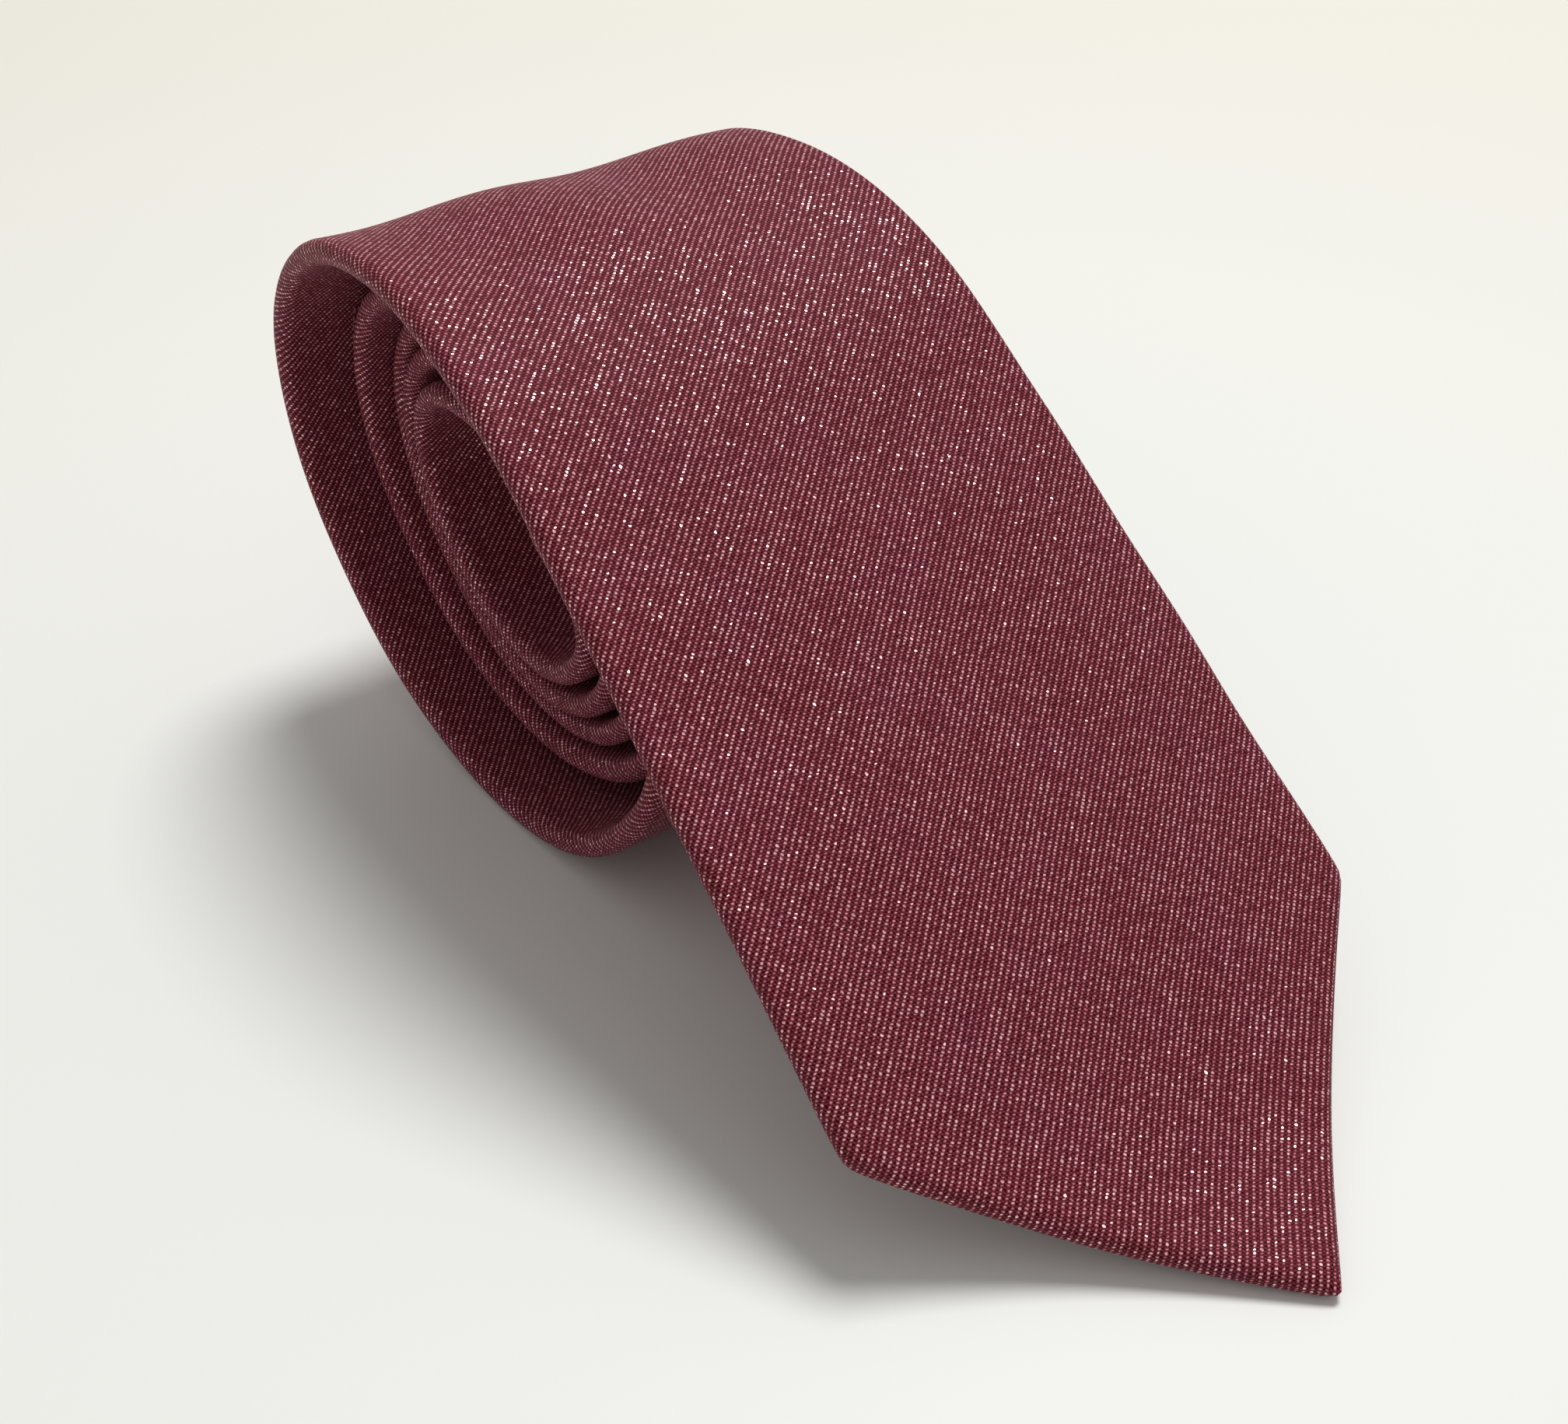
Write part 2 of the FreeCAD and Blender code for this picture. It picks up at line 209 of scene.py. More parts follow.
def ripple(place, across):
    """How far the cloth stands off its path: a few long waves, and deeper ones over the crest."""
    slack = 0.0
    for length, turn, phase in waves:
        run = place * math.cos(turn) + across * math.sin(turn)
        slack += math.sin(math.tau * run / length + phase)
    over_crest = math.exp(-((place - crest_place) / crest_reach) ** 2)
    folds = math.sin(math.tau * (across + fold_slant * place) / fold_pitch + fold_phase)
    return slack_ripple * slack / 2 + crest_ripple * over_crest * folds


def on_path(place, across, depth):
    """Where a point of the tie lies, from its place along it, its side and its depth."""
    depth = depth - ripple(place, across)
    y = np.interp(place, along, path[:, 0])
    z = np.interp(place, along, path[:, 1])
    ty = np.interp(place, along, tangent[:, 0])
    tz = np.interp(place, along, tangent[:, 1])
    size = math.hypot(ty, tz)
    drift = roll_drift * max(0.0, place - lift_hinge) / (tie_length - lift_hinge)
    return Vector((across - drift, y + depth * tz / size, max(0.0, z - depth * ty / size)))


print("the crest stands at", [round(x * 1000, 1) for x in on_path(crest_place, 0, 0)], "mm")

# %% [markdown]
# ## Widths
# The blade is widest at its two corners and narrows steadily to the neck. The corners of real cloth
# are turned, not cut, so the straight lines of the outline meet in small curves. A soft minimum of
# two lines gives exactly that.

# %% Outline of the finished tie
corner_softness = 1.2 * MM
point_width = 1.0 * MM


def soft_min(a, b, softness):
    """The smaller of two numbers, rounded off where they are nearly equal."""
    return (a + b - math.sqrt((a - b) ** 2 + softness ** 2)) / 2


def half_width(place):
    """Half the finished width at a place along the tie."""
    slope = (neck_width - blade_width) / 2 / (blade_length - blade_corner)
    blade = blade_width / 2 + (place - blade_corner) * slope
    neck = neck_width / 2
    tail_place = place - blade_length - neck_length
    tail = neck + max(0.0, tail_place) * (tail_width - neck_width) / 2 / tail_length
    body = max(blade, tail)
    body = soft_min(body, point_width / 2 + place, corner_softness)
    return soft_min(body, point_width / 2 + tie_length - place, corner_softness)


def opening(place):
    """Half the width between the two back flaps, which is nothing along the centre seam."""
    from_tail = tie_length - place
    if place < blade_open_length:
        start, length, here = blade_corner, blade_open_length, place
        mouth = half_width(blade_corner) - hem
    elif from_tail < tail_open_length:
        start, length, here = tail_width / 2, tail_open_length, from_tail
        mouth = half_width(tail_corner) - hem
    else:
        return 0.0
    if here < start:
        return max(0.0, half_width(place) - hem)
    return mouth * (length - here) / (length - start)


shown = [0, 10, 42, 300, 640, 900, 1180]
print("half widths at", shown, "mm:", [round(half_width(p * MM) * 1000, 1) for p in shown])

# %% [markdown]
# ## Cutting, folding and rolling a cloth
# Every cloth starts as a flat grid, one unit each way from its centre. Across, the unit is shared
# out between the front, the two folded edges and the two back flaps; along, it is the stretch of
# tie that the cloth covers. Moving each vertex to its place folds and rolls the grid in one go. The
# UV map keeps where each vertex was on the flat cloth, so the weave runs on round the folds. Along
# a slanted edge the cloth is mirrored in the fold, as paper is when its corner is turned over.

# %% How a shell folds across its width
front_share = 0.5
edge_share = 0.22
nose_length = 4 * MM
tucked = 0.12
tuck_depth = 0.45 * MM
thinnest_nose, widest_fold = 0.02, 0.9


def fold_at(place):
    """(lean of the edge, half thickness, fold radius across, half the flat front) at a place."""
    side = half_width(place)
    lean = (half_width(place + step) - half_width(place - step)) / 2 / step
    from_end = min(place, tie_length - place, nose_length) / nose_length
    swell = tie_thickness / 2 * math.sqrt(max(thinnest_nose, 1 - (1 - from_end) ** 2))
    radius = min(swell * math.sqrt(1 + lean * lean), side * widest_fold)
    return lean, swell, radius, side - radius


def shell_section(share, place):
    """(across, depth, cloth past the front's edge) for a share of the width, from -1 to 1."""
    lean, swell, radius, front = fold_at(place)
    middle = tie_thickness / 2
    part = abs(share)
    sign = -1.0 if share < 0 else 1.0
    if part <= front_share:
        across = front * part / front_share
        return sign * across, middle - swell, (across - front) / math.sqrt(1 + lean * lean)
    if part <= front_share + edge_share:
        angle = math.pi * (part - front_share) / edge_share
        across = front + radius * math.sin(angle)
        return sign * across, middle - swell * math.cos(angle), swell * angle
    back = (part - front_share - edge_share) / (1 - front_share - edge_share)
    gap = min(opening(place), front)
    across = front + (gap - front) * back
    tuck = tuck_depth * max(0.0, (back - 1 + tucked) / tucked) ** 2
    past = math.pi * swell + (front - across) / math.sqrt(1 + lean * lean)
    return sign * across, middle + swell - tuck, past


def shell_flat(share, place):
    """Where a point of the shell was on the flat cloth, in metres."""
    lean, _, _, front = fold_at(place)
    across, _, past = shell_section(share, place)
    slide = (abs(across) - front) * lean / (1 + lean * lean)
    out = past / math.sqrt(1 + lean * lean)
    sign = -1.0 if share < 0 else 1.0
    return sign * (front + slide * lean + out), place + slide - lean * out


def strip(half, depth):
    """Section and flat place of a plain strip, from its half width and its depth."""
    def section(share, place):
        return share * half(place), depth

    def flat(share, place):
        return share * half(place), place
    return section, flat


front, _, _ = shell_section(front_share, blade_corner)
print("the front is flat to", round(front * 1000, 1), "mm from its middle at the blade's corners")


# %% Lay a cloth along the path
def cut_grid(name, columns, rows):
    """A new piece and its flat grid."""
    piece = bpy.data.objects.new(name, bpy.data.meshes.new(name))
    bpy.context.scene.collection.objects.link(piece)
    bm = bmesh.new()
    bmesh.ops.create_grid(bm, x_segments=columns, y_segments=rows, size=1.0)
    return piece, bm


def lay_cloth(name, start, end, section, flat, thickness, columns=72, row=1.6 * MM):
    """Cut a grid, note its flat places as UVs, then fold and roll it and give it a thickness."""
    rows = max(2, math.ceil((end - start) / row))
    piece, bm = cut_grid(name, columns, rows)
    uv = bm.loops.layers.uv.new("UVMap")
    middle, half = (start + end) / 2, (end - start) / 2
    for vert in bm.verts:
        share, place = vert.co.x, middle + half * vert.co.y
        spot = flat(share, place)
        for loop in vert.link_loops:
            loop[uv].uv = spot
        vert.co = on_path(place, *section(share, place)[:2])
    for face in bm.faces:
        face.smooth = True
    for edge in bm.edges:
        edge.smooth = not edge.is_boundary
    bm.to_mesh(piece.data)
    bm.free()
    solid = piece.modifiers.new("thickness", "SOLIDIFY")
    solid.thickness = thickness
    solid.offset = -1
    solid.use_even_offset = False
    return piece


# %% [markdown]
# ## Shader maths in plain Python
# A weave is arithmetic on the cloth's flat place: waves, rounding and a little chance. Math nodes
# do that, but a screen full of them is hard to read. The small class below wraps one socket, so
# that `1 - ridge * 0.5` adds its nodes by itself. Every other node comes from one method, which
# takes the node's type, its settings, and the values or wires of its sockets.

# %% A socket that Python can calculate with
class Wire:
    """One output socket of a material; arithmetic on it adds Math nodes."""

    def __init__(self, tree, socket=None):
        self.tree = tree
        self.socket = socket

    def node(self, kind, settings=None, sockets=None, output=0):
        """Add any node and return the wire of one of its outputs."""
        made = self.tree.nodes.new(kind)
        for name, value in (settings or {}).items():
            setattr(made, name, value)
        for name, value in (sockets or {}).items():
            self.plug(value, made.inputs[name])
        return Wire(self.tree, made.outputs[output])

    def plug(self, value, socket):
        """Lead a wire into a socket, or set the socket to a plain value."""
        if isinstance(value, Wire):
            self.tree.links.new(value.socket, socket)
        else:
            socket.default_value = value

    def math(self, operation, *values):
        return self.node("ShaderNodeMath", {"operation": operation}, dict(enumerate(values)))

    def mix(self, share, low, high):
        """A colour between two colours."""
        return self.node("ShaderNodeMix", {"data_type": "RGBA"}, {0: share, 6: low, 7: high}, 2)

    def vector(self, operation, *values):
        return self.node("ShaderNodeVectorMath", {"operation": operation}, dict(enumerate(values)))

    def noise(self, place, scale, detail, distortion=0.0):
        """A soft random pattern around 0.5; the scale is in lumps to the metre."""
        return self.node("ShaderNodeTexNoise", None, {"Vector": place, "Scale": scale,
                                                      "Detail": detail, "Distortion": distortion})

    def wave(self):
        """1 at every whole number and 0 half way between."""
        return 0.5 + 0.5 * self.math("COSINE", self * math.tau)

    def nearest(self):
        return self.math("FLOOR", self + 0.5)

    def __add__(self, other):
        return self.math("ADD", self, other)

    def __sub__(self, other):
        return self.math("SUBTRACT", self, other)

    def __rsub__(self, other):
        return self.math("SUBTRACT", other, self)

    def __mul__(self, other):
        return self.math("MULTIPLY", self, other)

    def __pow__(self, other):
        return self.math("POWER", self, other)

    def __gt__(self, other):
        return self.math("GREATER_THAN", self, other)

    __radd__ = __add__
    __rmul__ = __mul__


# %% Start a finish
sheen_roughness = 0.45


def start_finish(name, slot, roughness, sheen, sheen_tint):
    """A new material with its constant values: the material, its shader and a loose wire."""
    material = bpy.data.materials.new(name)
    material.use_nodes = True
    shader = material.node_tree.nodes["Principled BSDF"]
    shader.inputs["Roughness"].default_value = roughness
    shader.inputs["Sheen Weight"].default_value = sheen
    shader.inputs["Sheen Roughness"].default_value = sheen_roughness
    shader.inputs["Sheen Tint"].default_value = (*sheen_tint, 1)
    material["slot"] = slot
    return material, shader, Wire(material.node_tree)


def flat_place(wire):
    """Across and along, in metres on the flat cloth, and both as one vector."""
    uv = wire.node("ShaderNodeUVMap", {"uv_map": "UVMap"})
    across = wire.node("ShaderNodeSeparateXYZ", None, {0: uv}, "X")
    along_cloth = wire.node("ShaderNodeSeparateXYZ", None, {0: uv}, "Y")
    return across, along_cloth, uv


def add_relief(wire, shader, strength, depth, height):
    """Lead a pattern through a bump into the shader's normal."""
    bump = wire.node("ShaderNodeBump", None,
                     {"Strength": strength, "Distance": depth, "Height": height})
    wire.plug(bump, shader.inputs["Normal"])


# %% [markdown]
# ## The twill
# Tie cloth is a twill cut on the bias: its ribs cross the tie at 45 degrees. Each rib is a row of
# floats, the short stretches where a weft thread passes over the warp, and they look like beads.
# Here one wave makes the ribs, a second makes the beads, and each rib's beads start a little later
# than its neighbour's. A dimmer row lies in each groove, half a bead further on. Two noises push
# the rows about, because spun thread is never even. The warp is dark, the weft is a lighter rose,
# and its shade wanders a little. The ground between the beads is painted darker still, a painted
# shade over the warp's own dark red, and the brightest bead crowns are painted pale pink, a painted
# gloss.
#
# A fine metallic fleck is woven in. Each bead draws a number, and the third that draws highest
# becomes half metal, each leaning its own way. That lean takes the place of the weave's relief,
# whose steeper slopes would scatter the light. So the flecks light up where the cloth turns towards
# the lamp, and stay quiet elsewhere, and nothing about them is painted on.

# %% Sizes of the twill
rib_pitch = 0.867 * MM
bead_pitch = 0.518 * MM
bead_shift = 0.35
rib_height = 0.16 * MM
drift_scale, wobble_scale = 260.0, 1500.0
rib_drift, rib_wobble, bead_wobble = 0.15, 0.5, 0.9
rib_narrowness, bead_narrowness = 2.0, 1.4
between_beads = 0.16
under_rib_share, under_rib_narrowness, under_bead_narrowness = 0.26, 3, 1.5
print("ribs per cm", round(0.01 / rib_pitch, 1), "beads per rib cm", round(0.01 / bead_pitch, 1))

# %% Colours and flecks of the twill
# The groove and warp colours are the warp's own dark red, made darker still as painted shade in the
# grooves and the gaps between the beads.
groove_shade_and_warp = (0.026, 0.000, 0.002, 1)
warp_and_shade = (0.070, 0.001, 0.006, 1)
rose_bead = (0.84, 0.130, 0.225, 1)
brown_bead = (0.78, 0.115, 0.145, 1)
# painted highlight: the pale bead colour is a gloss painted on the brightest bead crowns
painted_gloss_bead = (1.0, 0.50, 0.58, 1)
fleck_colour = (1.0, 0.62, 0.66, 1)
sheen, sheen_tint = 0.04, (0.9, 0.45, 0.5)
gloss, gloss_tint = 0.08, (1.0, 0.45, 0.50, 1)
darkest_bead, bead_spread = 0.62, 0.68
shade_scale, shade_start, shade_steepness = 75.0, 0.35, 3.0
fleck_share, fleck_tilt = 0.33, 0.25
fleck_crown, fleck_metal = 0.5, 0.5
cloth_roughness, fleck_smoothness = 0.50, 0.22
relief_strength = 0.8
print("flecks", round(fleck_share * 100), "percent of the beads")


# %% Lay out the ribs and beads
def count_threads(wire):
    """Ribs and beads, counted across the cloth, and the flat place they're counted from."""
    across, along_cloth, uv = flat_place(wire)
    drift = wire.noise(uv, drift_scale, 1.0)
    wobble = wire.noise(uv, wobble_scale, 1.0)
    rib = (along_cloth - across) * (1 / (math.sqrt(2) * rib_pitch))
    rib = rib + drift * rib_drift + wobble * rib_wobble
    bead = (along_cloth + across) * (1 / (math.sqrt(2) * bead_pitch))
    bead = bead + rib * bead_shift + wobble * bead_wobble
    return rib, bead, uv


def draw_numbers(wire, rib, bead):
    """One number, and one colour of three numbers, drawn for each bead."""
    numbers = wire.node("ShaderNodeCombineXYZ", None, {"X": rib.nearest(), "Y": bead.nearest()})
    others = wire.vector("ADD", numbers, (0.5, 0.25, 0.0))
    flat_noise = {"noise_dimensions": "2D"}
    draw = wire.node("ShaderNodeTexWhiteNoise", flat_noise, {"Vector": numbers}, "Value")
    draws = wire.node("ShaderNodeTexWhiteNoise", flat_noise, {"Vector": others}, "Color")
    return draw, draws


def leaning_metal(wire, shader, fleck, draws, height):
    """The weave's relief, and a lean of its own for each fleck."""
    bump = wire.node("ShaderNodeBump", None,
                     {"Strength": relief_strength, "Distance": rib_height, "Height": height})
    facing = wire.node("ShaderNodeNewGeometry", None, None, "Normal")
    spread = wire.vector("SUBTRACT", draws, (0.5, 0.5, 0.5))
    lean = wire.node("ShaderNodeVectorMath", {"operation": "SCALE"},
                     {0: spread, "Scale": 2 * fleck_tilt})
    metal = wire.vector("ADD", facing, lean)
    normal = wire.node("ShaderNodeMix", {"data_type": "VECTOR"}, {0: fleck, 4: bump, 5: metal}, 1)
    wire.plug(wire.vector("NORMALIZE", normal), shader.inputs["Normal"])


# %% Weave the twill
def twill_finish(name, slot):
    """The tie's outer cloth."""
    material, shader, wire = start_finish(name, slot, cloth_roughness, sheen, sheen_tint)
    shader.inputs["Specular IOR Level"].default_value = gloss
    shader.inputs["Specular Tint"].default_value = gloss_tint
    rib, bead, uv = count_threads(wire)
    draw, draws = draw_numbers(wire, rib, bead)
    ridge = rib.wave()
    beads = between_beads + (1 - between_beads) * bead.wave() ** bead_narrowness
    float_over = ridge ** rib_narrowness * beads
    under_rib = (rib + 0.5).wave() ** under_rib_narrowness
    under_rib = under_rib * (bead + 0.5).wave() ** under_bead_narrowness * under_rib_share
    # light is how much bead shows over ground: the dark ground holds painted shade, and near its
    # top it mixes in the painted gloss.
    light = float_over * (darkest_bead + bead_spread * draw) + under_rib

    shade = wire.noise(uv, shade_scale, 2.0)
    bead_colour = wire.mix((shade - shade_start) * shade_steepness, brown_bead, rose_bead)
    bead_colour = wire.mix(light, bead_colour, painted_gloss_bead)
    woven = wire.mix(light, wire.mix(ridge, groove_shade_and_warp, warp_and_shade), bead_colour)
    fleck = (draw > 1 - fleck_share) * (float_over > fleck_crown)
    wire.plug(wire.mix(fleck, woven, fleck_colour), shader.inputs["Base Color"])
    wire.plug(fleck * fleck_metal, shader.inputs["Metallic"])
    wire.plug(cloth_roughness - fleck_smoothness * fleck, shader.inputs["Roughness"])
    leaning_metal(wire, shader, fleck, draws, float_over + under_rib)
    return material


twill = twill_finish("maroon_twill", "shell")
loop_twill = twill_finish("keeper_twill", "loop")
print("twill for the shells and the loop,", len(twill.node_tree.nodes), "nodes each")

# %% [markdown]
# ## Lining, interlining, ribbon and thread
# The tipping is a thin satin, so its weave is far too fine to see and shows as a soft gloss with
# faint slanted lines. The interlining is brushed wool: pale, matt and hairy. The labels are woven
# ribbon, and are left blank. Sewing thread is two strands twisted together, and a stretched and
# slanted noise reads as that twist at this size.

# %% Satin and wool
satin_line, satin_slant = 0.32 * MM, 0.35
wool_weave = 1.4 * MM


def satin_finish():
    """The lining behind both points."""
    material, shader, wire = start_finish("tipping_satin", "tipping", 0.38, 0.1, (0.8, 0.4, 0.5))
    across, along_cloth, uv = flat_place(wire)
    lines = ((along_cloth + satin_slant * across) * (1 / satin_line)).wave()
    slubs = wire.noise(uv, 500.0, 3.0)
    colour = wire.mix(0.25 + 0.35 * lines + 0.3 * slubs,
                      (0.055, 0.006, 0.016, 1), (0.17, 0.03, 0.055, 1))
    wire.plug(colour, shader.inputs["Base Color"])
    wire.plug(0.32 + 0.16 * slubs, shader.inputs["Roughness"])
    add_relief(wire, shader, 0.4, 0.03 * MM, lines + slubs)
    return material


def wool_finish():
    """The interlining."""
    tint = (1.0, 0.95, 0.85)
    material, shader, wire = start_finish("brushed_wool", "interlining", 0.9, 0.5, tint)
    across, along_cloth, uv = flat_place(wire)
    hair = wire.noise(uv, 900.0, 6.0, 2.0)
    weave = (across * (1 / wool_weave)).wave() * (along_cloth * (1 / wool_weave)).wave()
    colour = wire.mix(hair * 0.8 + weave * 0.2, (0.42, 0.37, 0.28, 1), (0.78, 0.73, 0.63, 1))
    wire.plug(colour, shader.inputs["Base Color"])
    add_relief(wire, shader, 0.7, 0.2 * MM, hair + weave)
    return material


satin, wool = satin_finish(), wool_finish()
print("finishes", satin.name, wool.name)

# %% Ribbon and thread
pick_pitch, end_pitch = 0.28 * MM, 0.36 * MM
twist_turn, twist_scale = (0.5, 0.7, 0.6), (5000.0, 1200.0, 1200.0)


def ribbon_finish():
    """Both labels."""
    material, shader, wire = start_finish("label_ribbon", "label", 0.45, 0.1, (0.8, 0.5, 0.6))
    across, along_cloth, _ = flat_place(wire)
    picks = (along_cloth * (1 / pick_pitch)).wave()
    ends = (across * (1 / end_pitch)).wave()
    colour = wire.mix(0.3 * picks + 0.5 * ends * picks,
                      (0.035, 0.006, 0.012, 1), (0.16, 0.05, 0.07, 1))
    wire.plug(colour, shader.inputs["Base Color"])
    wire.plug(0.5 - 0.2 * ends, shader.inputs["Roughness"])
    add_relief(wire, shader, 0.5, 0.05 * MM, picks * ends)
    return material


def thread_finish():
    """All the stitches."""
    material, shader, wire = start_finish("sewing_thread", "thread", 0.5, 0.2, (0.9, 0.6, 0.7))
    spot = wire.node("ShaderNodeTexCoord", None, None, "Object")
    spot = wire.node("ShaderNodeMapping", None,
                     {"Vector": spot, "Rotation": twist_turn, "Scale": twist_scale})
    twist = wire.noise(spot, 1.0, 1.0)
    colour = wire.mix(twist, (0.09, 0.012, 0.025, 1), (0.36, 0.09, 0.14, 1))
    wire.plug(colour, shader.inputs["Base Color"])
    add_relief(wire, shader, 0.5, 0.05 * MM, twist)
    return material


ribbon, thread = ribbon_finish(), thread_finish()
print("finishes", ribbon.name, thread.name)

# %% [markdown]
# ## The shells
# The blade's shell is one cloth, and here it is three pieces that meet edge to edge: the end that
# can curl, the stretch that lifts off the crest, and the part that stays rolled. The pieces at both
# hinges are given to no body and stay where they are laid; each hinge is listed with its two bodies
# and the 40 mm of cloth between them. The neck and the tail each start where the cloth before them
# ends.

# %% Bodies and hinges
def place_on_cloth(place):
    """The middle of the tie's thickness at a place along it."""
    return on_path(place, 0.0, tie_thickness / 2)


def bend_between(first, second, hinge):
    """The two bodies of a hinge, and the stretch of cloth over which one gives way to the other."""
    return (first, second, place_on_cloth(hinge - bend_reach), place_on_cloth(hinge + bend_reach))


def carry(piece, body):
    """Let a piece ride on one body; a piece with two bodies keeps its place and rides on none."""
    if isinstance(body, str):
        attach(piece, body)
    else:
        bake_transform(piece)


bend_reach = 20 * MM
curl_bend = bend_between("point", "flap", curl_hinge)
lift_bend = bend_between("flap", "roll", lift_hinge)
print("bends", curl_bend[:2], lift_bend[:2], "over", round(2 * bend_reach * 1000), "mm")


# %% What every cloth declares
def declare(piece, body, nodes, material):
    """A cloth's material, the nodes it stands for, and its body or bodies."""
    piece.data.materials.append(material)
    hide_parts(*nodes)
    carry(piece, body)
    return piece


# %% Cut, fold and roll the shells
first_cut = 96 * MM
second_cut = 200 * MM
tail_seam = blade_length + neck_length
shell_row = 1.3 * MM
for name, start, end, nodes, body in [
        ("blade_shell_end", 0, first_cut, ["blade_shell_point"], curl_bend),
        ("blade_shell_crest", first_cut, second_cut, ["blade_shell_flap"], lift_bend),
        ("blade_shell_wrapped", second_cut, blade_length, ["blade_shell_rolled"], "roll"),
        ("neck_cloth", blade_length, tail_seam, ["neck_shell"], "roll"),
        ("tail_cloth", tail_seam, tie_length, ["tail_shell"], "roll")]:
    piece = lay_cloth(name, start, end, shell_section, shell_flat, cloth_thickness, row=shell_row)
    declare(piece, body, nodes, twill)

# %% [markdown]
# ## Inside the shells
# The interlining is a plain strip as wide as the tie, less a little room at each fold. It stops
# short of the points, because their folds fill them. The tipping is cut to the same outline, and
# lies behind the interlining at each end, where the back flaps stand open. At each joining seam the
# two seam allowances, pressed open, lie behind the front, and here they are one strip.

# %% Interlining, tipping and seam allowances
inside_edge, narrowest_half = 1.2 * MM, 0.3 * MM
point_room = 5 * MM
blade_lining_end, tail_lining_length = 110 * MM, 76 * MM


def inner_strip(depth):
    """A strip that fits inside the folded shell."""
    return strip(lambda place: max(narrowest_half, half_width(place) - inside_edge), depth)


for name, start, end, nodes, body in [
        ("interlining_end", point_room, first_cut, ["interlining_point"], curl_bend),
        ("interlining_crest", first_cut, second_cut, ["interlining_flap"], lift_bend),
        ("interlining_wrapped", second_cut, tie_length - point_room, ["interlining_rolled"],
         "roll")]:
    piece = lay_cloth(name, start, end, *inner_strip(interlining_depth), interlining_thickness, 12)
    declare(piece, body, nodes, wool)
for name, start, end, nodes, body in [
        ("blade_lining", point_room, blade_lining_end,
         ["blade_tipping_point", "blade_tipping_flap"], curl_bend),
        ("tail_lining", tie_length - tail_lining_length, tie_length - point_room,
         ["tail_tipping"], "roll")]:
    piece = lay_cloth(name, start, end, *inner_strip(tipping_depth), tipping_thickness, 24)
    declare(piece, body, nodes, satin)
for name, seam in [("blade_neck_seam", blade_length), ("neck_tail_seam", tail_seam)]:
    piece = lay_cloth(name + "_allowances", seam - seam_allowance, seam + seam_allowance,
                      *inner_strip(seam_depth), allowance_thickness, 12)
    declare(piece, "roll", [name], twill)

# %% [markdown]
# ## The keeper loop and the labels
# The loop is a folded strap of the same twill, sewn across the back of the blade. When the tie is
# worn the tail slips through it. It bridges the back with a little slack and turns down at both
# ends. The labels are flat ribbons on the back, and they stay blank.

# %% How the loop crosses the back
on_back = tie_thickness + 0.05 * MM
loop_half = 22.4 * MM
loop_rise = 1.25 * MM
loop_corner = 0.5 * MM
top_share, corner_share = 0.8, 0.1


def loop_section(share, place):
    """Across and depth of the loop, which is the same all along its short length."""
    part, sign = abs(share), -1.0 if share < 0 else 1.0
    flat_half = loop_half - loop_corner
    if part <= top_share:
        return sign * flat_half * part / top_share, on_back + loop_rise
    if part <= top_share + corner_share:
        angle = math.pi / 2 * (part - top_share) / corner_share
        return (sign * (flat_half + loop_corner * math.sin(angle)),
                on_back + loop_rise - loop_corner * (1 - math.cos(angle)))
    leg = (part - top_share - corner_share) / (1 - top_share - corner_share)
    return sign * loop_half, on_back + (loop_rise - loop_corner) * (1 - leg)


def loop_flat(share, place):
    """The loop's flat place; its strap is as long as the way across and down both ends."""
    half_length = loop_half - loop_corner + math.pi / 2 * loop_corner + loop_rise - loop_corner
    return share * half_length, place


# %% Sew on the loop and the labels
fine_row = 1 * MM
loop_place, loop_length, strap_thickness = 222 * MM, 12 * MM, 0.6 * MM
piece = lay_cloth("keeper_strap", loop_place, loop_place + loop_length, loop_section, loop_flat,
                  strap_thickness, 60, fine_row)
declare(piece, "roll", ["keeper_loop"], loop_twill)
maker_place, maker_length, maker_width = 176 * MM, 20 * MM, 44 * MM
care_place, care_length, care_width = 262 * MM, 22 * MM, 14 * MM
label_thickness = 0.28 * MM
for name, start, length, width, node in [
        ("maker_ribbon", maker_place, maker_length, maker_width, "maker_label"),
        ("care_ribbon", care_place, care_length, care_width, "care_label")]:
    section, flat = strip(lambda place, width=width: width / 2, on_back)
    piece = lay_cloth(name, start, start + length, section, flat, label_thickness, 24, fine_row)
    declare(piece, "roll", [node], ribbon)

# %% [markdown]
# ## Stitches
# Hand stitches are short, plump stretches of thread that sink in at both ends, so each one is a
# small sphere pulled out long. The slip stitch crosses the centre seam like the rungs of a ladder.
# A bar tack closes each end of that seam: a few threads side by side, with a close row wrapped over
# them.

# %% One stitch, and a piece of many
def stitch(bm, start, end, radius):
    """A plump stitch from one point to another."""
    span = end - start
    turn = span.to_track_quat("Z", "Y").to_matrix().to_4x4()
    shape = Matrix.Diagonal((radius, radius, span.length / 2, 1))
    place = Matrix.Translation((start + end) / 2)
    bmesh.ops.create_uvsphere(bm, u_segments=8, v_segments=6, radius=1.0,
                              matrix=place @ turn @ shape)


def sew(name, stitches, radius, body, node):
    """A thread piece from pairs of (along, across, depth) on the tie."""
    piece = bpy.data.objects.new(name, bpy.data.meshes.new(name))
    bpy.context.scene.collection.objects.link(piece)
    bm = bmesh.new()
    for start, end in stitches:
        stitch(bm, on_path(*start), on_path(*end), radius)
    for face in bm.faces:
        face.smooth = True
    bm.to_mesh(piece.data)
    bm.free()
    piece.data.materials.append(thread)
    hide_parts(node)
    carry(piece, body)
    print(name, len(stitches), "stitches")


